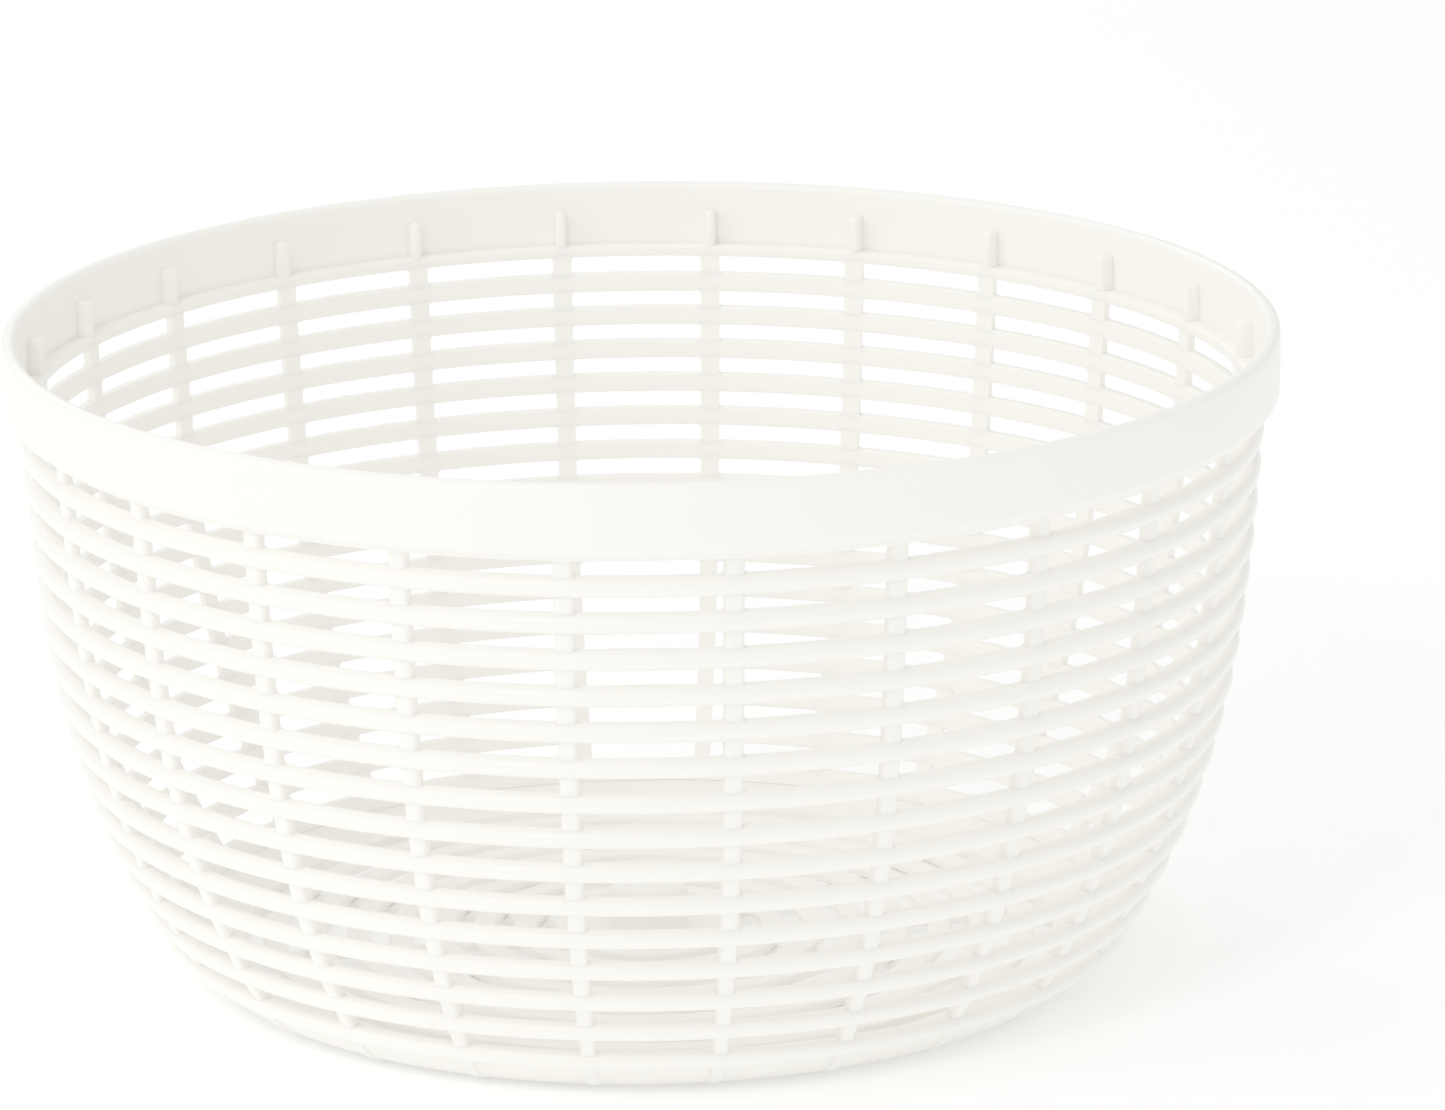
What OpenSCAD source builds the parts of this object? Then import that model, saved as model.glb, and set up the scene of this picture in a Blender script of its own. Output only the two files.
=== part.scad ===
// Removable straining basket of a salad spinner.
// A round moulded basket: a plain band round the top, a wall of thin hoops
// carried by upright ribs, a solid foot ring and an open floor with a hub.
// +Z is up, and the origin is the middle of the foot's underside.

/* [Overall] */
// Outer diameter of the band round the top
rim_d = 240; // [195:1:290]
// Height from the table to the top of the lip
basket_h = 123.6; // [100:0.1:150]
// Outer diameter of the foot where it meets the table
foot_d = 162; // [130:1:172]

/* [Rim band] */
// Height of the band
band_h = 13.6; // [11:0.1:18]
// Wall of the band
band_t = 2.8; // [2.4:0.1:4]
// Rounding of the lip's two edges
lip_round = 1.2; // [0.6:0.1:1.2]
// Rounding of the band's lower outer edge
band_edge_round = 2.4; // [0.8:0.1:2.4]
// How far the band stands out from the wall below it
band_step = 2.5; // [1:0.1:3]

/* [Ledge and lugs] */
// Thickness of the ledge ring inside the band
ledge_t = 2.2; // [1.6:0.1:3]
// How far the ledge ring reaches below the band
ledge_drop = 0.9; // [0.3:0.1:1.2]
// Height of a drive lug above the ledge
lug_h = 7; // [4:0.1:8]
// Width of a drive lug
lug_w = 1.9; // [1.2:0.1:3]
// Depth of the chamfer at the top of a drive lug
lug_chamfer = 0.8; // [0.3:0.1:1.5]

/* [Wall] */
// Diameter that the wall's curve reaches at table height
wall_base_d = 173.8; // [150:0.2:178]
// Part of the wall's inward lean that is straight, top to bottom
wall_taper = 7.7; // [2:0.1:12]
// Thickness of the wall, square to its surface
wall_t = 3.2; // [2.6:0.1:4]
// Number of hoops
hoop_n = 15; // [8:1:16]
// Height of the highest hoop
hoop_top_h = 3.8; // [2.4:0.1:4.4]
// Height of the lowest hoop
hoop_low_h = 3.2; // [2.2:0.1:4]
// Height of the slot between the ledge and the highest hoop
top_slot_h = 3.3; // [2:0.1:5]
// Number of upright ribs
rib_n = 24; // [12:1:30]
// Width of a rib at its top, narrowing towards the foot
rib_w = 3.7; // [2:0.1:5]
// How far a rib's outer face lies behind the hoops' outer edge
rib_recess = 1.2; // [0.6:0.1:1.6]

/* [Foot] */
// Height of the solid foot
foot_h = 6.5; // [5:0.1:9]
// How far the ribs stand out from the foot
foot_rib_proud = 0.7; // [0.3:0.1:1]
// Width of the foot's flat underside
foot_land = 3.5; // [2.5:0.1:5]

/* [Floor] */
// Height of the floor's upper surface
floor_z = 4.4; // [4:0.1:4.8]
// Thickness of the floor's rings
floor_ring_t = 1.8; // [1.2:0.1:2.2]
// Depth of the floor's spokes below the rings
spoke_h = 1.4; // [1:0.1:1.6]
// Number of rings between the hub and the foot
floor_ring_n = 7; // [4:1:9]
// Width of a floor ring
floor_ring_w = 4.4; // [3:0.1:5]
// Number of spokes
spoke_n = 12; // [6:1:24]
// Width of a spoke
spoke_w = 3; // [2:0.1:4]

/* [Hub] */
// Diameter of the hub's plate
hub_d = 36; // [30:0.5:44]
// Diameter of the hub's boss
boss_d = 15; // [13:0.5:20]
// Height of the boss's top above the table
boss_h = 13; // [11:0.1:18]
// Radius of the pivot socket under the hub
socket_r = 4.1; // [3:0.1:5]
// Depth of the pivot socket from the hub's underside
socket_depth = 8; // [5:0.1:9]
// Width of the bevel round the boss's top
boss_bevel = 1.5; // [0.5:0.1:2]

/* [Hidden] */
// Each hoop is a node of its own, counted from the top.
function hoop_name(i) = str("hoop_", i < 9 ? "0" : "", i + 1);
$fn = 96;
eps = 0.01;
// How far a cutter runs past the face that it starts from.
CUT_PAST = 1;
PLASTIC = [0.96, 0.95, 0.91];

rim_r = rim_d / 2;
foot_r = foot_d / 2;
band_z = basket_h - band_h;
band_in_r = rim_r - band_t;
ledge_z = band_z - ledge_drop;
ledge_top_z = ledge_z + ledge_t;

// The wall's outer curve: a straight lean plus a belly that grows downwards.
BELLY_POWER = 3.3;
NOSE_STEPS = 6;
wall_top_r = rim_r - band_step;
belly = wall_top_r - wall_base_d / 2 - wall_taper;
function depth_share(z) = max(0, (band_z - z) / band_z);
function wall_r(z) = wall_top_r - wall_taper * depth_share(z)
    - belly * pow(depth_share(z), BELLY_POWER);
function wall_slope(z) = (wall_taper
    + belly * BELLY_POWER * pow(depth_share(z), BELLY_POWER - 1)) / band_z;
function wall_in_r(z) = wall_r(z) - wall_t * sqrt(1 + pow(wall_slope(z), 2));

ledge_in_r = wall_in_r(band_z);

// Hoops run from the slot under the ledge down to the foot.
hoop_first_z = ledge_z - top_slot_h - hoop_top_h / 2;
hoop_last_z = foot_h + hoop_low_h / 2;
function hoop_z(i) = hoop_first_z
    + (hoop_last_z - hoop_first_z) * i / (hoop_n - 1);
function hoop_h(i) = hoop_top_h
    + (hoop_low_h - hoop_top_h) * i / (hoop_n - 1);

// The wall's faces are cones between knots, one knot in each slot's middle,
// so that hoop i lies between knots i and i + 1.
function knot_z(i) = i == 0 ? ledge_z : i == hoop_n ? foot_h
    : (hoop_z(i - 1) + hoop_z(i)) / 2;
wall_in_line = [for (i = [0 : hoop_n]) [wall_in_r(knot_z(i)), knot_z(i)]];
rib_out_line = [for (i = [0 : hoop_n])
    [wall_r(knot_z(i)) - rib_recess, knot_z(i)]];

// The foot's outer face: a soft corner from the wall down to the table.
FOOT_STEPS = 5;
FOOT_CORNER_OUT = 0.7;
FOOT_CORNER_UP = 0.3;
foot_top_r = wall_r(foot_h) - rib_recess - foot_rib_proud;
function bend(a, b, c, t) =
    (1 - t) * (1 - t) * a + 2 * t * (1 - t) * b + t * t * c;
foot_corner = [foot_r + FOOT_CORNER_OUT * (foot_top_r - foot_r),
               FOOT_CORNER_UP * foot_h];
foot_face = [for (i = [0 : FOOT_STEPS])
    bend([foot_top_r, foot_h], foot_corner, [foot_r, 0], i / FOOT_STEPS)];
foot_in_r = foot_r - foot_land;

// Floor: rings lie on the spokes, and both meet the hub and the foot.
ring_z = floor_z - floor_ring_t;
spoke_z = ring_z - spoke_h;
hub_r = hub_d / 2;
ring_pitch = (foot_in_r - hub_r + floor_ring_w) / (floor_ring_n + 1);
function ring_in_r(i) = hub_r + ring_pitch * (i + 1) - floor_ring_w;

// Ribs start half a pitch off the X axis, and the first spoke is in line with
// the first rib.
function rib_angle(i) = (i + 0.5) * 360 / rib_n;
function spoke_angle(i) = rib_angle(0) + i * 360 / spoke_n;

function reversed(list) = [for (i = [len(list) - 1 : -1 : 0]) list[i]];

// A section turned through a few degrees at each rib, width wide at at_r.
module at_each_rib(width, at_r) {
    turn = 2 * asin(width / 2 / at_r);
    for (i = [0 : rib_n - 1])
        rotate([0, 0, rib_angle(i) - turn / 2])
            rotate_extrude(angle = turn) children();
}

// The band's section: a rounded lip on top and a rounded lower outer edge.
module band_profile() {
    mid_z = band_z + band_edge_round;
    lip_z = basket_h - lip_round;
    translate([band_in_r, band_z])
        square([band_t - band_edge_round, band_edge_round + eps]);
    intersection() {
        translate([rim_r - band_edge_round, mid_z])
            circle(r = band_edge_round);
        translate([rim_r - band_edge_round - eps, band_z])
            square(band_edge_round + eps);
    }
    translate([band_in_r, mid_z])
        square([band_t, lip_z - mid_z]);
    translate([band_in_r + lip_round, lip_z - eps])
        square([band_t - 2 * lip_round, lip_round + eps]);
    for (r = [band_in_r + lip_round, rim_r - lip_round])
        translate([r, lip_z]) circle(r = lip_round);
}

// One hoop's section: a half-round nose outside, the wall's inner face inside.
module hoop_profile(i) {
    nose_r = hoop_h(i) / 2;
    nose_mid = [wall_r(hoop_z(i)) - nose_r, hoop_z(i)];
    intersection() {
        polygon(concat(
            [for (a = [-90 : 180 / NOSE_STEPS : 90])
                nose_mid + nose_r * [cos(a), sin(a)]],
            [[0, nose_mid[1] + nose_r], [0, nose_mid[1] - nose_r]]));
        polygon([wall_in_line[i], wall_in_line[i + 1],
                 [rim_r, knot_z(i + 1)], [rim_r, knot_z(i)]]);
    }
}

// The stretch of a rib's section that hoop i is notched for, open inwards.
module notch_profile(i) {
    inwards = [-wall_t, 0];
    polygon([wall_in_line[i] + inwards, rib_out_line[i],
             rib_out_line[i + 1], wall_in_line[i + 1] + inwards]);
}

module rib_profile() {
    polygon(concat(
        rib_out_line,
        [for (i = [1 : FOOT_STEPS]) foot_face[i] + [foot_rib_proud, 0]],
        reversed(foot_face),
        reversed(wall_in_line)));
}

module rim_band() {
    color(PLASTIC) rotate_extrude() band_profile();
}

module rim_ledge() {
    color(PLASTIC)
        rotate_extrude()
            translate([ledge_in_r, ledge_z])
                square([band_in_r - ledge_in_r, ledge_t]);
}

module drive_lugs() {
    top_z = ledge_top_z + lug_h;
    color(PLASTIC)
        at_each_rib(lug_w, band_in_r)
            polygon([[ledge_in_r, ledge_top_z], [band_in_r, ledge_top_z],
                     [band_in_r, top_z],
                     [ledge_in_r + lug_chamfer, top_z],
                     [ledge_in_r, top_z - lug_chamfer]]);
}

module wall_hoop(i) {
    color(PLASTIC)
        difference() {
            rotate_extrude() hoop_profile(i);
            at_each_rib(rib_w, wall_top_r) notch_profile(i);
        }
}

module wall_ribs() {
    color(PLASTIC) at_each_rib(rib_w, wall_top_r) rib_profile();
}

module foot_ring() {
    color(PLASTIC)
        rotate_extrude()
            polygon(concat(foot_face,
                [[foot_in_r, 0], [foot_in_r, floor_z],
                 [foot_r, floor_z],
                 [(foot_r + wall_in_r(foot_h)) / 2, (2 * floor_z + foot_h) / 3],
                 [wall_in_r(foot_h), foot_h]]));
}

module floor_rings() {
    color(PLASTIC)
        for (i = [0 : floor_ring_n - 1])
            translate([0, 0, ring_z])
                rotate_extrude()
                    translate([ring_in_r(i), 0])
                        square([floor_ring_w, floor_ring_t]);
}

module floor_spokes() {
    color(PLASTIC)
        intersection() {
            rotate_extrude()
                translate([hub_r, spoke_z])
                    square([foot_in_r - hub_r, spoke_h]);
            for (i = [0 : spoke_n - 1])
                rotate([0, 0, spoke_angle(i)])
                    translate([hub_r / 2, -spoke_w / 2, 0])
                        cube([foot_r - hub_r / 2, spoke_w, floor_z]);
        }
}

module pivot_hub() {
    color(PLASTIC)
        difference() {
            union() {
                translate([0, 0, spoke_z])
                    cylinder(r = hub_r, h = floor_z - spoke_z);
                rotate_extrude()
                    polygon([[0, spoke_z], [boss_d / 2, spoke_z],
                             [boss_d / 2, boss_h - boss_bevel],
                             [boss_d / 2 - boss_bevel, boss_h],
                             [0, boss_h]]);
            }
            translate([0, 0, spoke_z - CUT_PAST])
                cylinder(r = socket_r, h = socket_depth + CUT_PAST);
        }
}

rim_band();
rim_ledge();
drive_lugs();
for (i = [0 : hoop_n - 1])
    wall_hoop(i);
wall_ribs();
foot_ring();
floor_rings();
floor_spokes();
pivot_hub();
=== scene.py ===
"""Looks of a salad spinner's straining basket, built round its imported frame.

The basket is one warm white plastic moulding. Each region of it is a class
here: the band round the top, the ledge and lugs inside it, the hooped wall,
the foot and the floor. All sizes are in millimetres and become metres when a
piece is finished.
"""

import logging
import math
from collections.abc import Iterable
from dataclasses import dataclass, field
from enum import Enum

import bmesh
import bpy
from mathutils import Matrix, Vector


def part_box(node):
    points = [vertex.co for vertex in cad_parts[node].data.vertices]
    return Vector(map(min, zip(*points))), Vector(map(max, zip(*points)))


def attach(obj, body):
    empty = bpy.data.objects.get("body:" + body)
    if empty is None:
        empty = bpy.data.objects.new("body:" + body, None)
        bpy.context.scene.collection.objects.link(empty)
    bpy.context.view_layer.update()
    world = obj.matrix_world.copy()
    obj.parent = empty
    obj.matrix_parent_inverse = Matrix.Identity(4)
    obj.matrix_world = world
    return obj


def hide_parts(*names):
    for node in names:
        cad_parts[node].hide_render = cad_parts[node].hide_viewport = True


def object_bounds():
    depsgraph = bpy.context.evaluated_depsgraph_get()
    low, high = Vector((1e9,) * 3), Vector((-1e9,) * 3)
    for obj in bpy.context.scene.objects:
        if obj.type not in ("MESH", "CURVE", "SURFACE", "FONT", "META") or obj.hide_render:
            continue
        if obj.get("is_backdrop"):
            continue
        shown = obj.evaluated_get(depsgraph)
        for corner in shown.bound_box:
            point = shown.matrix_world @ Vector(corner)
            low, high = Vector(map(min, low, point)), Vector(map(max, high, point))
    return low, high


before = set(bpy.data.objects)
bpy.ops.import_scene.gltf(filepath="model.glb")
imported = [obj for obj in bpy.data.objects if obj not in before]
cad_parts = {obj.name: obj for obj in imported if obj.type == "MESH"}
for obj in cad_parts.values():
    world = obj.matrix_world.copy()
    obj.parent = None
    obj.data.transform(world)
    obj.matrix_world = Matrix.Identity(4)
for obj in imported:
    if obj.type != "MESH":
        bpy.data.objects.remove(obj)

LOG = logging.getLogger("basket")
MM = 0.001
FULL_TURN = 2 * math.pi
UP = Vector((0, 0, 1))
BODY = "root"
WELD_MM = 1e-4


# ---------------------------------------------------------------- materials


class Socket:
    """An output socket that takes part in Python sums, as Math nodes."""

    def __init__(self, bench: "NodeBench", link: bpy.types.NodeSocket) -> None:
        """Wraps a socket.

        Args:
            bench: The node tree that the socket is in.
            link: The socket.
        """
        self.bench = bench
        self.link = link

    def _math(self, operation: str, first: object, second: object) -> "Socket":
        """Adds one Math node."""
        return self.bench.add(
            "ShaderNodeMath", {"operation": operation}, {0: first, 1: second}
        )

    def __add__(self, other: object) -> "Socket":
        """self + other."""
        return self._math("ADD", self, other)

    def __mul__(self, other: object) -> "Socket":
        """self * other."""
        return self._math("MULTIPLY", self, other)

    def __sub__(self, other: object) -> "Socket":
        """self - other."""
        return self._math("SUBTRACT", self, other)

    def __rsub__(self, other: object) -> "Socket":
        """other - self."""
        return self._math("SUBTRACT", other, self)

    __radd__ = __add__
    __rmul__ = __mul__


class NodeBench:
    """Adds nodes to one node tree."""

    def __init__(self, tree: bpy.types.NodeTree) -> None:
        """Starts on a tree, which is emptied."""
        self.tree = tree
        tree.nodes.clear()

    def add(
        self,
        kind: str,
        settings: dict[str, object] | None = None,
        inputs: dict[str | int, object] | None = None,
        output: str | int = 0,
    ) -> Socket:
        """Adds a node.

        Args:
            kind: The node's type.
            settings: Properties of the node, set first.
            inputs: A value or a Socket for each named or numbered input.
            output: Which output to return.

        Returns:
            The output, ready for sums and links.
        """
        node = self.tree.nodes.new(kind)
        for name, value in (settings or {}).items():
            setattr(node, name, value)
        for key, value in (inputs or {}).items():
            if isinstance(value, Socket):
                self.tree.links.new(value.link, node.inputs[key])
            else:
                node.inputs[key].default_value = value
        if not node.outputs:
            return Socket(self, None)
        return Socket(self, node.outputs[output])

    def blend(
        self,
        share: Socket,
        first: tuple[float, float, float],
        second: tuple[float, float, float],
    ) -> Socket:
        """Adds a mix of two colours.

        Args:
            share: How much of the second colour there is, from 0 to 1.
            first: The first colour.
            second: The second colour.

        Returns:
            The mixed colour.
        """
        return self.add(
            "ShaderNodeMix",
            {"data_type": "RGBA"},
            {0: share, 6: (*first, 1), 7: (*second, 1)},
            output=2,
        )

    def noise(self, place: Socket, per_m: float, detail: float = 2.0) -> Socket:
        """Adds noise with about that many blobs to the metre."""
        return self.add(
            "ShaderNodeTexNoise",
            None,
            {"Vector": place, "Scale": per_m, "Detail": detail},
        )


@dataclass(frozen=True)
class MouldedPlastic:
    """Warm white polypropylene with a soft gloss."""

    name: str = "warm_white_plastic"
    colour: tuple[float, float, float] = (0.96, 0.94, 0.87)
    deep_colour: tuple[float, float, float] = (0.95, 0.925, 0.845)
    roughness: float = 0.34
    roughness_swing: float = 0.07
    refraction: float = 1.49
    translucency: float = 0.25
    glow_reach_mm: float = 1.6
    glow_tint: tuple[float, float, float] = (1.0, 0.95, 0.85)
    cloud_per_m: float = 14.0
    grain_per_m: float = 900.0
    grain_detail: float = 3.0
    flow_per_m: float = 55.0
    flow_detail: float = 4.0
    flow_height: float = 2.0
    grain_strength: float = 0.035
    grain_depth_mm: float = 0.05

    def material(self) -> bpy.types.Material:
        """Builds the material.

        Returns:
            A material that is the same on every piece it is put on.
        """
        made = bpy.data.materials.new(self.name)
        made.use_nodes = True
        bench = NodeBench(made.node_tree)
        place = bench.add("ShaderNodeTexCoord", output="Object")
        cloud = bench.noise(place, self.cloud_per_m)
        grain = bench.noise(place, self.grain_per_m, self.grain_detail)
        flow = bench.noise(place, self.flow_per_m, self.flow_detail)
        colour = bench.blend(cloud, self.deep_colour, self.colour)
        roughness = (flow - 0.5) * self.roughness_swing + self.roughness
        bump = bench.add(
            "ShaderNodeBump",
            None,
            {
                "Strength": self.grain_strength,
                "Distance": self.grain_depth_mm * MM,
                "Height": grain + flow * self.flow_height,
            },
        )
        skin = bench.add(
            "ShaderNodeBsdfPrincipled",
            {"subsurface_method": "RANDOM_WALK"},
            {
                "Base Color": colour,
                "Roughness": roughness,
                "IOR": self.refraction,
                "Subsurface Weight": self.translucency,
                "Subsurface Radius": self.glow_tint,
                "Subsurface Scale": self.glow_reach_mm * MM,
                "Normal": bump,
            },
        )
        bench.add("ShaderNodeOutputMaterial", None, {"Surface": skin})
        return made


@dataclass(frozen=True)
class TableTop:
    """Matt white sheet that the basket stands on, with a slight glow."""

    name: str = "white_sheet"
    colour: tuple[float, float, float] = (0.97, 0.97, 0.97)
    shade: float = 0.004
    fibre_per_m: float = 260.0
    glow: float = 0.18

    def material(self) -> bpy.types.Material:
        """Builds the material, a paper white with the faintest mottling."""
        made = bpy.data.materials.new(self.name)
        made.use_nodes = True
        bench = NodeBench(made.node_tree)
        place = bench.add("ShaderNodeTexCoord", output="Object")
        fibre = bench.noise(place, self.fibre_per_m)
        darker = tuple(part - self.shade for part in self.colour)
        colour = bench.blend(fibre, darker, self.colour)
        sheet = bench.add("ShaderNodeBsdfDiffuse", None, {"Color": colour})
        glow = bench.add("ShaderNodeEmission", None, {"Strength": self.glow})
        both = bench.add("ShaderNodeAddShader", None, {0: sheet, 1: glow})
        bench.add("ShaderNodeOutputMaterial", None, {"Surface": both})
        return made


# ------------------------------------------------------------------- meshes


@dataclass(frozen=True)
class Corner:
    """A corner of a section: distance from the axis, height and rounding."""

    r: float
    z: float
    rounding: float = 0.0


class Rounded(Enum):
    """What a rounding takes off."""

    CORNERS = "VERTICES"
    EDGES = "EDGES"


class Workpiece:
    """A mesh in the making, in millimetres."""

    ROUND_SEGMENTS = 4

    def __init__(self, name: str) -> None:
        """Starts an empty mesh.

        Args:
            name: The finished object's name.
        """
        self.name = name
        self.bm = bmesh.new()

    def round_off(
        self,
        what: Rounded,
        geom: list[bmesh.types.BMVert | bmesh.types.BMEdge],
        size: float,
        segments: int,
        clamped: bool = False,
    ) -> None:
        """Rounds corners or edges.

        Args:
            what: Whether corners or edges are rounded.
            geom: The corners or the edges.
            size: How far the rounding reaches.
            segments: How many steps the rounding has.
            clamped: Whether roundings that would overlap are made smaller.
        """
        bmesh.ops.bevel(
            self.bm,
            geom=geom,
            offset=size,
            offset_type="OFFSET",
            segments=segments,
            profile=0.5,
            affect=what.value,
            material=-1,
            clamp_overlap=clamped,
        )

    def block(
        self, low: tuple[float, float, float], high: tuple[float, float, float]
    ) -> None:
        """Adds a block between two corners to an empty mesh."""
        bmesh.ops.create_cube(self.bm, size=1)
        bmesh.ops.scale(
            self.bm,
            vec=[above - below for below, above in zip(low, high)],
            verts=self.bm.verts[:],
        )
        bmesh.ops.translate(
            self.bm,
            vec=[(below + above) / 2 for below, above in zip(low, high)],
            verts=self.bm.verts[:],
        )

    def section(
        self, corners: Iterable[Corner], segments: int = ROUND_SEGMENTS
    ) -> bmesh.types.BMFace:
        """Draws a section in the XZ plane and rounds its corners.

        Args:
            corners: The corners in order round the section.
            segments: How many steps each rounding has.

        Returns:
            The section's face.
        """
        corners = list(corners)
        mark = self.bm.faces.layers.int.new("section")
        verts = [self.bm.verts.new((c.r, 0, c.z)) for c in corners]
        self.bm.faces.new(verts)[mark] = 1
        for size in sorted({c.rounding for c in corners if c.rounding > 0}):
            chosen = [v for v, c in zip(verts, corners) if c.rounding == size]
            self.round_off(Rounded.CORNERS, chosen, size, segments, clamped=True)
        return next(f for f in self.bm.faces if f[mark] == 1)

    def turn(
        self,
        corners: Iterable[Corner],
        steps: int,
        segments: int = ROUND_SEGMENTS,
    ) -> None:
        """Turns a section once round the axis into a closed ring.

        Args:
            corners: The section's corners, all off the axis.
            steps: How many steps the full turn has.
            segments: How many steps each rounding has.
        """
        part = Workpiece(self.name)
        face = part.section(corners, segments)
        edges = list(face.edges)
        bmesh.ops.delete(part.bm, geom=[face], context="FACES_ONLY")
        verts = {v for e in edges for v in e.verts}
        bmesh.ops.spin(
            part.bm,
            geom=[*verts, *edges],
            cent=(0, 0, 0),
            axis=UP,
            angle=FULL_TURN,
            steps=steps,
            use_merge=True,
        )
        bmesh.ops.remove_doubles(part.bm, verts=part.bm.verts[:], dist=WELD_MM)
        bmesh.ops.recalc_face_normals(part.bm, faces=part.bm.faces[:])
        self.take(part)

    def take(self, part: "Workpiece") -> None:
        """Adds another workpiece's mesh to this one and frees it."""
        spare = bpy.data.meshes.new("spare")
        part.bm.to_mesh(spare)
        part.bm.free()
        self.bm.from_mesh(spare)
        bpy.data.meshes.remove(spare)

    def turned(self, angle: float) -> None:
        """Turns all of the mesh about the axis by an angle in radians."""
        bmesh.ops.rotate(
            self.bm,
            verts=self.bm.verts[:],
            cent=(0, 0, 0),
            matrix=Matrix.Rotation(angle, 3, "Z"),
        )

    def repeat(self, count: int) -> None:
        """Repeats all of the mesh count times in a ring round the axis."""
        bmesh.ops.spin(
            self.bm,
            geom=[*self.bm.verts, *self.bm.edges, *self.bm.faces],
            cent=(0, 0, 0),
            axis=UP,
            angle=FULL_TURN * (count - 1) / count,
            steps=count - 1,
            use_duplicate=True,
        )

    def finish(
        self, finish: bpy.types.Material, crease_deg: float = 38.0
    ) -> bpy.types.Object:
        """Makes the object, in metres, with its place in its mesh.

        Args:
            finish: The material.
            crease_deg: Edges sharper than this stay sharp.

        Returns:
            The finished object, in the scene.
        """
        bmesh.ops.scale(self.bm, vec=(MM, MM, MM), verts=self.bm.verts[:])
        for face in self.bm.faces:
            face.smooth = True
        for edge in self.bm.edges:
            if edge.is_manifold:
                edge.smooth = edge.calc_face_angle() < math.radians(crease_deg)
        mesh = bpy.data.meshes.new(self.name)
        self.bm.to_mesh(mesh)
        self.bm.free()
        mesh.materials.append(finish)
        made = bpy.data.objects.new(self.name, mesh)
        bpy.context.scene.collection.objects.link(made)
        return made


# ---------------------------------------------------------------- the shape


def _span(node: str) -> tuple[float, float, float]:
    """A CAD node's outer radius, lowest height and highest height, in mm."""
    low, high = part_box(node)
    return high[0] / MM, low[2] / MM, high[2] / MM


@dataclass(frozen=True)
class WallCurve:
    """The line that the wall follows from the band down to the foot."""

    rim_r: float = field(default_factory=lambda: _span("rim_band")[0])
    band_z: float = field(default_factory=lambda: _span("rim_band")[1])
    band_step: float = 2.5
    base_r: float = 86.9
    taper: float = 7.7
    belly_power: float = 3.3
    thickness: float = 3.2

    @property
    def top_r(self) -> float:
        """Outer radius of the wall under the band."""
        return self.rim_r - self.band_step

    @property
    def belly(self) -> float:
        """How far the curve leans in beyond its straight taper."""
        return self.top_r - self.base_r - self.taper

    def outer(self, z: float) -> float:
        """Outer radius of the wall at a height."""
        depth = max(0.0, (self.band_z - z) / self.band_z)
        return self.top_r - self.taper * depth - self.belly * depth**self.belly_power

    def slope(self, z: float) -> float:
        """How fast the outer radius grows with height."""
        depth = max(0.0, (self.band_z - z) / self.band_z)
        curve = self.belly * self.belly_power * depth ** (self.belly_power - 1)
        return (self.taper + curve) / self.band_z

    def inner(self, z: float) -> float:
        """Inner radius of the wall at a height."""
        return self.outer(z) - self.thickness * math.hypot(1, self.slope(z))


@dataclass
class RimBand:
    """The plain band round the top, with its rounded lip."""

    curve: WallCurve
    thickness: float = 2.8
    lip_round: float = 1.25
    lower_round: float = 2.3
    lower_inner_round: float = 0.3
    steps: int = 256
    segments: int = 6

    @property
    def inner_r(self) -> float:
        """Radius of the band's inner face."""
        return self.curve.rim_r - self.thickness

    def build(self, finish: bpy.types.Material) -> Iterable[bpy.types.Object]:
        """Turns the band and puts it in place of its CAD node."""
        _, low, high = _span("rim_band")
        piece = Workpiece("band_skin")
        piece.turn(
            [
                Corner(self.inner_r, low, self.lower_inner_round),
                Corner(self.curve.rim_r, low, self.lower_round),
                Corner(self.curve.rim_r, high, self.lip_round),
                Corner(self.inner_r, high, self.lip_round),
            ],
            self.steps,
            self.segments,
        )
        yield _mounted(piece.finish(finish), "rim_band")


@dataclass
class Ledge:
    """The ledge ring inside the band, and the drive lugs that stand on it."""

    curve: WallCurve
    band: RimBand
    edge_round: float = 0.5
    lug_count: int = 24
    lug_w: float = 1.9
    lug_round: float = 0.7
    lug_segments: int = 3
    steps: int = 256

    @property
    def inner_r(self) -> float:
        """Radius of the ledge's inner edge."""
        return self.curve.inner(self.curve.band_z)

    def build(self, finish: bpy.types.Material) -> Iterable[bpy.types.Object]:
        """Makes the ledge ring and the lugs."""
        yield self._ring(finish)
        yield self._lugs(finish)

    def _ring(self, finish: bpy.types.Material) -> bpy.types.Object:
        """Turns the ledge ring."""
        _, low, high = _span("rim_ledge")
        buried = self.band.inner_r + self.band.thickness / 2
        piece = Workpiece("ledge_skin")
        piece.turn(
            [
                Corner(self.inner_r, low, self.edge_round),
                Corner(self.band.inner_r, low),
                Corner(buried, self.curve.band_z + self.edge_round),
                Corner(buried, high),
                Corner(self.inner_r, high, self.edge_round),
            ],
            self.steps,
        )
        return _mounted(piece.finish(finish), "rim_ledge")

    def _lugs(self, finish: bpy.types.Material) -> bpy.types.Object:
        """Makes one lug with rounded edges and repeats it round the rim."""
        _, low, high = _span("drive_lugs")
        piece = Workpiece("lugs_skin")
        outer = self.band.inner_r + self.edge_round
        bottom = low - self.edge_round
        half = self.lug_w / 2
        piece.block((self.inner_r, -half, bottom), (outer, half, high))
        seen_edges = [
            e
            for e in piece.bm.edges
            if all(v.co.x < outer - self.edge_round for v in e.verts)
            or all(v.co.z > high - self.edge_round for v in e.verts)
        ]
        piece.round_off(
            Rounded.EDGES, seen_edges, self.lug_round, self.lug_segments, clamped=True
        )
        piece.turned(math.pi / self.lug_count)
        piece.repeat(self.lug_count)
        return _mounted(piece.finish(finish), "drive_lugs")


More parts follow.
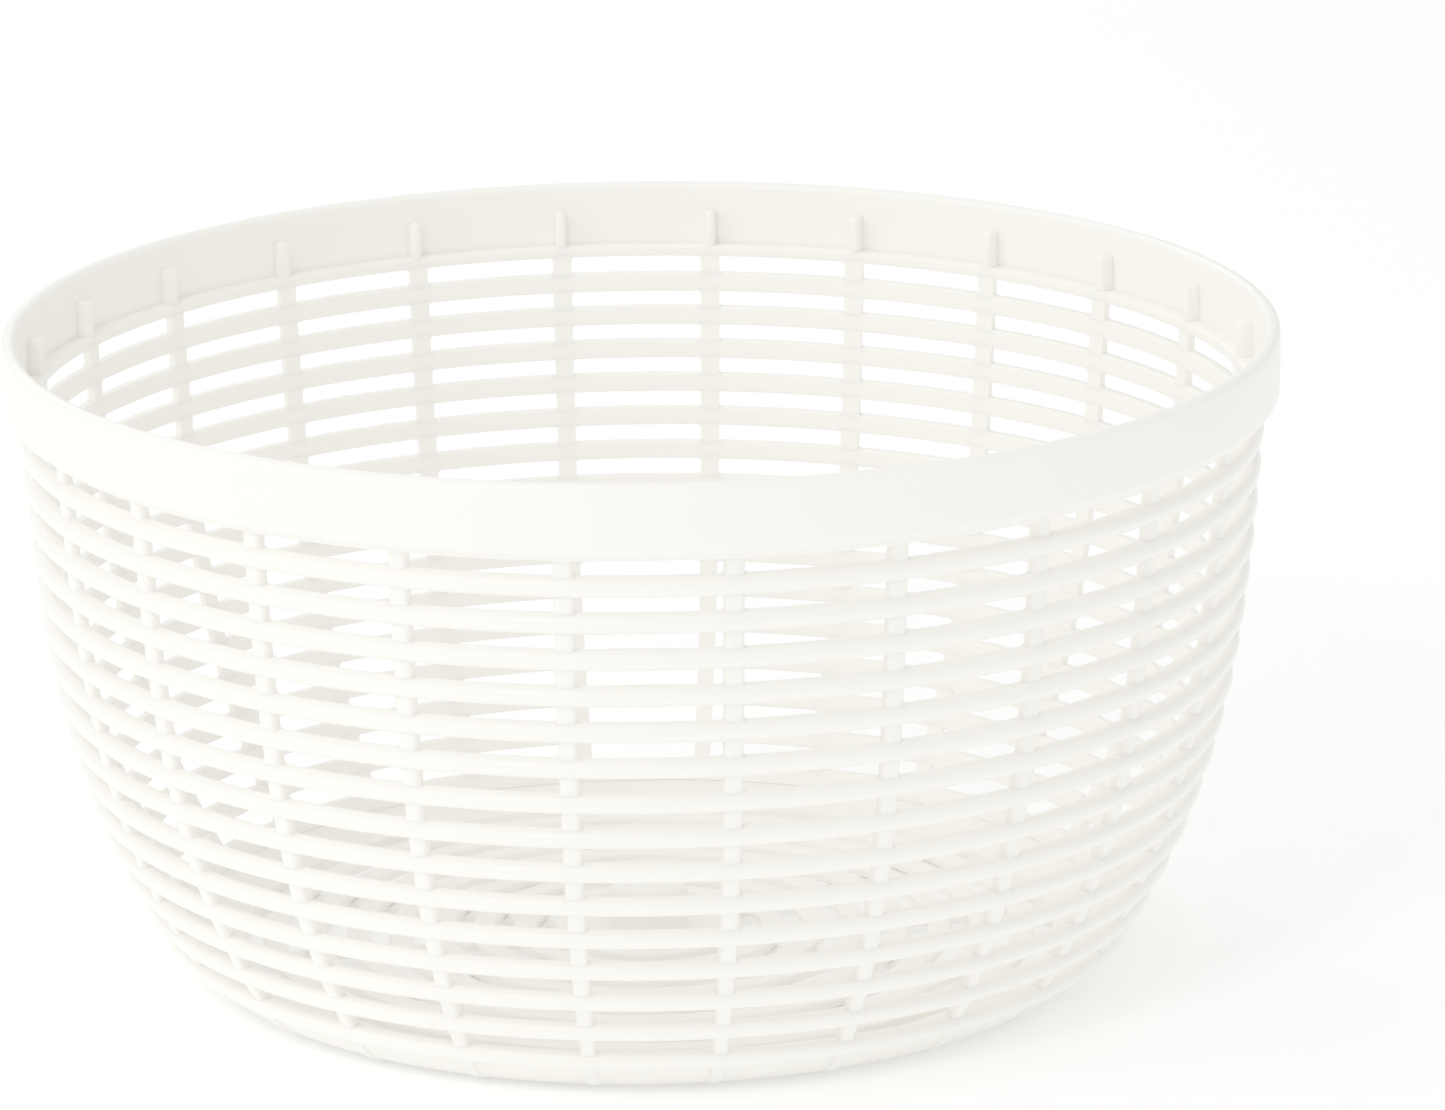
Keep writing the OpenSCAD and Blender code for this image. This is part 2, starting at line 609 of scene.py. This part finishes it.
@dataclass
class Foot:
    """The solid ring from the lowest hoop down to the table."""

    curve: WallCurve
    height: float = field(default_factory=lambda: _span("foot_ring")[2])
    foot_r: float = 81.0
    land: float = 3.5
    set_back: float = 1.9
    floor_z: float = 4.4
    corner_out: float = 0.7
    corner_up: float = 0.3
    edge_round: float = 0.35
    steps: int = 216
    face_steps: int = 9

    def face(self, steps: int) -> list[tuple[float, float]]:
        """Radius and height down the foot's soft outer corner.

        Args:
            steps: How many steps there are from the wall to the table.

        Returns:
            The points, from the top down.
        """
        top_r = self.curve.outer(self.height) - self.set_back
        start = Vector((top_r, self.height))
        bend = Vector(
            (
                self.foot_r + self.corner_out * (top_r - self.foot_r),
                self.corner_up * self.height,
            )
        )
        end = Vector((self.foot_r, 0))
        points = []
        for step in range(steps + 1):
            t = step / steps
            point = start.lerp(bend, t).lerp(bend.lerp(end, t), t)
            points.append((point.x, point.y))
        return points

    @property
    def inner_r(self) -> float:
        """Radius inside the foot's flat underside."""
        return self.foot_r - self.land

    def build(self, finish: bpy.types.Material) -> Iterable[bpy.types.Object]:
        """Turns the foot ring."""
        wall_in = self.curve.inner(self.height)
        *outside, (low_r, low_z) = self.face(self.face_steps)
        piece = Workpiece("foot_skin")
        piece.turn(
            [
                *[Corner(r, z) for r, z in outside],
                Corner(low_r, low_z, self.edge_round),
                Corner(self.inner_r, 0, self.edge_round),
                Corner(self.inner_r, self.floor_z),
                Corner(self.foot_r, self.floor_z),
                Corner(
                    (self.foot_r + wall_in) / 2, (2 * self.floor_z + self.height) / 3
                ),
                Corner(wall_in, self.height),
            ],
            self.steps,
        )
        yield _mounted(piece.finish(finish), "foot_ring")


@dataclass(frozen=True)
class RibStation:
    """A level cut through a rib: its height, both faces and its width."""

    z: float
    inner: float
    outer: float
    width: float


@dataclass
class HoopedWall:
    """Hoops with a half-round outer face, carried by upright ribs."""

    curve: WallCurve
    foot: Foot
    hoop_count: int = 15
    hoop_inner_round: float = 0.4
    nose_share: float = 0.98
    hoop_steps: int = 216
    hoop_segments: int = 5
    rib_count: int = 24
    rib_top_w: float = 3.7
    rib_recess: float = 1.2
    rib_round: float = 1.2
    rib_segments: int = 4
    rib_proud: float = 0.7
    fillet: float = 0.4
    fillet_bend: tuple[float, float] = (0.3, 0.35)
    buried: float = 0.5
    foot_stations: int = 6
    flush_gap: float = 0.02

    @property
    def hoops(self) -> list[str]:
        """Names of the hoops' CAD nodes, from the top down."""
        return [f"hoop_{index + 1:02d}" for index in range(self.hoop_count)]

    def build(self, finish: bpy.types.Material) -> Iterable[bpy.types.Object]:
        """Makes each hoop and all of the ribs."""
        for node in self.hoops:
            yield self._hoop(node, finish)
        yield self._ribs(finish)

    def _hoop(self, node: str, finish: bpy.types.Material) -> bpy.types.Object:
        """Turns one hoop, round outside and flush with the wall inside."""
        outer, low, high = _span(node)
        nose = (high - low) / 2 * self.nose_share
        piece = Workpiece(f"{node}_skin")
        piece.turn(
            [
                Corner(self.curve.inner(low), low, self.hoop_inner_round),
                Corner(outer, low, nose),
                Corner(outer, high, nose),
                Corner(self.curve.inner(high), high, self.hoop_inner_round),
            ],
            self.hoop_steps,
            self.hoop_segments,
        )
        return _mounted(piece.finish(finish), node)

    def _ribs(self, finish: bpy.types.Material) -> bpy.types.Object:
        """Draws each bar of one rib, from slot to slot, and repeats them all."""
        piece = Workpiece("ribs_skin")
        for run in self._runs():
            piece.take(self._bar(run))
        piece.turned(math.pi / self.rib_count)
        piece.repeat(self.rib_count)
        return _mounted(piece.finish(finish), "wall_ribs")

    def _bar(self, run: list[RibStation]) -> Workpiece:
        """Draws one closed bar through the cuts of a run, from the top down."""
        bar = Workpiece("bar")
        first, *rest = run
        face = self._rib_section(bar, first)
        above = first
        for station in rest:
            grown = bmesh.ops.extrude_face_region(bar.bm, geom=[face])["geom"]
            if above is not first:
                bmesh.ops.delete(bar.bm, geom=[face], context="FACES_ONLY")
            verts = [g for g in grown if isinstance(g, bmesh.types.BMVert)]
            face = next(g for g in grown if isinstance(g, bmesh.types.BMFace))
            deeper = (station.outer - station.inner) / (above.outer - above.inner)
            bmesh.ops.scale(
                bar.bm,
                vec=(deeper, station.width / above.width, 1),
                space=Matrix.Translation((-above.inner, 0, 0)),
                verts=verts,
            )
            bmesh.ops.translate(
                bar.bm,
                vec=(station.inner - above.inner, 0, station.z - above.z),
                verts=verts,
            )
            above = station
        bmesh.ops.recalc_face_normals(bar.bm, faces=bar.bm.faces[:])
        return bar

    def _rib_section(self, piece: Workpiece, at: RibStation) -> bmesh.types.BMFace:
        """Draws a rib's level section, rounded on its outer side."""
        half = at.width / 2
        verts = [
            piece.bm.verts.new(place)
            for place in (
                (at.inner, -half, at.z),
                (at.outer, -half, at.z),
                (at.outer, half, at.z),
                (at.inner, half, at.z),
            )
        ]
        piece.bm.faces.new(verts)
        piece.round_off(
            Rounded.CORNERS, verts[1:3], self.rib_round, self.rib_segments
        )
        piece.bm.faces.ensure_lookup_table()
        return piece.bm.faces[0]

    def _rib_w(self, z: float) -> float:
        """A rib's width at a height: it spans the same angle all the way down."""
        return self.rib_top_w * self.curve.outer(z) / self.curve.top_r

    def _station(self, z: float, wider: float = 0.0) -> RibStation:
        """The cut through a rib at a height above the foot."""
        return RibStation(
            z,
            self.curve.inner(z) - self.flush_gap,
            self.curve.outer(z) - self.rib_recess,
            self._rib_w(z) + wider,
        )

    def _runs(self) -> list[list[RibStation]]:
        """Cuts down one rib: a run through each slot, and one over the foot."""
        top = _span("rim_ledge")[1]
        runs = []
        for node in self.hoops:
            _, low, high = _span(node)
            runs.append(self._slot_run(top, high))
            top = low
        over_foot = [self._station(top + self.buried), self._station(top)]
        for r, z in self.foot.face(self.foot_stations)[1:]:
            over_foot.append(
                RibStation(
                    z, r - self.rib_recess, r + self.rib_proud, self._rib_w(z)
                )
            )
        return [*runs, over_foot]

    def _slot_run(self, top: float, bottom: float) -> list[RibStation]:
        """Cuts through a slot's bar, which flares into the hoops at both ends.

        Args:
            top: The slot's upper edge.
            bottom: Its lower edge.

        Returns:
            The cuts from the top down, the end ones inside the hoops.
        """
        bend_depth, bend_share = self.fillet_bend
        flares = (
            (-self.buried, 1.0),
            (0.0, 1.0),
            (bend_depth * self.fillet, bend_share),
            (self.fillet, 0.0),
        )
        upper = [
            self._station(top - depth, 2 * self.fillet * share)
            for depth, share in flares
        ]
        lower = [
            self._station(bottom + depth, 2 * self.fillet * share)
            for depth, share in reversed(flares)
        ]
        return upper + lower


@dataclass
class Floor:
    """The open floor: rings on spokes, and the hub in the middle."""

    foot: Foot
    ring_count: int = 7
    ring_w: float = 4.4
    ring_round: float = 0.5
    ring_segments: int = 3
    spoke_count: int = 12
    spoke_w: float = 3.0
    spoke_round: float = 0.5
    spoke_segments: int = 2
    spoke_buried: float = 1.0
    top_margin: float = 0.1
    hub_r: float = 18.0
    boss_r: float = 7.5
    boss_round: float = 1.5
    hub_round: float = 0.5
    socket_r: float = 4.1
    socket_depth: float = 8.0
    axis_r: float = 0.05
    steps: int = 144

    def build(self, finish: bpy.types.Material) -> Iterable[bpy.types.Object]:
        """Makes the rings, the spokes and the hub."""
        yield self._rings(finish)
        yield self._spokes(finish)
        yield self._hub(finish)

    def _rings(self, finish: bpy.types.Material) -> bpy.types.Object:
        """Turns the concentric rings."""
        _, low, high = _span("floor_rings")
        room = self.foot.inner_r - self.hub_r + self.ring_w
        pitch = room / (self.ring_count + 1)
        piece = Workpiece("floor_rings_skin")
        for index in range(self.ring_count):
            outer = self.hub_r + pitch * (index + 1)
            piece.turn(
                [
                    Corner(outer - self.ring_w, low, self.ring_round),
                    Corner(outer, low, self.ring_round),
                    Corner(outer, high, self.ring_round),
                    Corner(outer - self.ring_w, high, self.ring_round),
                ],
                self.steps,
                self.ring_segments,
            )
        return _mounted(piece.finish(finish), "floor_rings")

    def _spokes(self, finish: bpy.types.Material) -> bpy.types.Object:
        """Makes one spoke and repeats it from the hub out to the foot."""
        _, low, high = _span("floor_spokes")
        start = self.hub_r - self.spoke_buried
        end = self.foot.inner_r + self.spoke_buried
        half = self.spoke_w / 2
        piece = Workpiece("spokes_skin")
        piece.block((start, -half, low), (end, half, high))
        lower_edges = [
            e
            for e in piece.bm.edges
            if all(v.co.z < high - self.top_margin for v in e.verts)
        ]
        piece.round_off(
            Rounded.EDGES, lower_edges, self.spoke_round, self.spoke_segments
        )
        piece.turned(math.pi / (2 * self.spoke_count))
        piece.repeat(self.spoke_count)
        return _mounted(piece.finish(finish), "floor_spokes")

    def _hub(self, finish: bpy.types.Material) -> bpy.types.Object:
        """Turns the hub's plate and boss, with the socket under it."""
        _, low, high = _span("pivot_hub")
        top = low + self.socket_depth
        piece = Workpiece("hub_skin")
        piece.turn(
            [
                Corner(self.socket_r, low, self.hub_round),
                Corner(self.hub_r, low, self.hub_round),
                Corner(self.hub_r, self.foot.floor_z, self.hub_round),
                Corner(self.boss_r, self.foot.floor_z, self.hub_round),
                Corner(self.boss_r, high, self.boss_round),
                Corner(self.axis_r, high),
                Corner(self.axis_r, top),
                Corner(self.socket_r, top, self.hub_round),
            ],
            self.steps,
        )
        return _mounted(piece.finish(finish), "pivot_hub")


def _mounted(piece: bpy.types.Object, node: str) -> bpy.types.Object:
    """Puts a finished piece on the basket in place of a CAD node."""
    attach(piece, BODY)
    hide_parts(node)
    return piece


# --------------------------------------------------------------- the studio


@dataclass(frozen=True)
class SoftLight:
    """A soft square light, aimed at the middle of the basket."""

    name: str
    towards: tuple[float, float, float]
    distance: float
    size: float
    brightness: float

    def place(self, target: Vector) -> None:
        """Hangs the light.

        Args:
            target: What the light is aimed at. Its brightness is what a white
                surface there shows when it faces the light.
        """
        lamp = bpy.data.lights.new(self.name, "AREA")
        lamp.shape = "SQUARE"
        lamp.size = self.size
        lamp.energy = self.brightness * (math.pi * self.distance) ** 2
        made = bpy.data.objects.new(self.name, lamp)
        way = Vector(self.towards).normalized()
        made.location = target + way * self.distance
        made.rotation_euler = way.to_track_quat("Z", "Y").to_euler()
        bpy.context.scene.collection.objects.link(made)


@dataclass(frozen=True)
class Viewpoint:
    """Where the camera stands: low and far, a little above the rim."""

    round_deg: float = 0.988
    above_deg: float = 15.409
    distance: float = 1.53387
    aim: tuple[float, float, float] = (0.01489, 0.0, 0.07773)
    roll_deg: float = 0.603
    lens_mm: float = 201.62
    sensor_mm: float = 36.0
    far_m: float = 100.0

    def place(self) -> None:
        """Makes the camera and gives it to the scene."""
        lens = bpy.data.cameras.new("camera")
        lens.lens = self.lens_mm
        lens.sensor_width = self.sensor_mm
        lens.sensor_fit = "HORIZONTAL"
        lens.clip_end = self.far_m
        made = bpy.data.objects.new("camera", lens)
        bearing, above = math.radians(self.round_deg), math.radians(self.above_deg)
        way = Vector(
            (
                -math.sin(bearing) * math.cos(above),
                -math.cos(bearing) * math.cos(above),
                math.sin(above),
            )
        )
        made.location = Vector(self.aim) + way * self.distance
        facing = way.to_track_quat("Z", "Y").to_matrix().to_4x4()
        lean = Matrix.Rotation(math.radians(-self.roll_deg), 4, "Z")
        made.rotation_euler = (facing @ lean).to_euler()
        bpy.context.scene.collection.objects.link(made)
        bpy.context.scene.camera = made


@dataclass(frozen=True)
class Studio:
    """A white table in soft, nearly even light."""

    sky: float = 0.64
    print_gamma: float = 1.8
    table_half: float = 4.0
    lights: tuple[SoftLight, ...] = (
        SoftLight("window", (-1.0, -0.35, 0.6), 1.6, 0.8, 0.15),
        SoftLight("behind", (-0.4, 1.0, 0.7), 1.6, 0.9, 0.1),
        SoftLight("overhead", (-0.1, -0.1, 1.0), 1.6, 1.4, 0.08),
        SoftLight("key", (-0.35, -0.75, 0.68), 1.6, 0.3, 0.12),
    )

    def set_up(self) -> None:
        """Builds the table, hangs the lights and sets the light of the room."""
        world = bpy.data.worlds.new("room")
        world.use_nodes = True
        bench = NodeBench(world.node_tree)
        air = bench.add(
            "ShaderNodeBackground",
            None,
            {"Color": (1, 1, 1, 1), "Strength": self.sky},
        )
        bench.add("ShaderNodeOutputWorld", None, {"Surface": air})
        scene = bpy.context.scene
        scene.world = world
        scene.view_settings.view_transform = "Standard"
        scene.view_settings.look = "None"
        scene.view_settings.gamma = self.print_gamma
        _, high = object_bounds()
        target = Vector((0, 0, high[2] / 2))
        for light in self.lights:
            light.place(target)
        self._table()

    def _table(self) -> None:
        """Lays the table's sheet."""
        bm = bmesh.new()
        bmesh.ops.create_grid(bm, x_segments=1, y_segments=1, size=self.table_half)
        mesh = bpy.data.meshes.new("table")
        bm.to_mesh(mesh)
        bm.free()
        mesh.materials.append(TableTop().material())
        table = bpy.data.objects.new("table", mesh)
        bpy.context.scene.collection.objects.link(table)
        table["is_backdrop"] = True


# --------------------------------------------------------------------- main


def main() -> None:
    """Builds the basket and its studio."""
    logging.basicConfig(level=logging.INFO, format="%(name)s: %(message)s")
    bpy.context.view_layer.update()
    Viewpoint().place()

    plastic = MouldedPlastic().material()
    curve = WallCurve()
    band = RimBand(curve)
    foot = Foot(curve)
    for part in (band, Ledge(curve, band), foot, HoopedWall(curve, foot), Floor(foot)):
        for made in part.build(plastic):
            LOG.info("%s: %d faces", made.name, len(made.data.polygons))

    Studio().set_up()


if __name__ == "__main__":
    main()
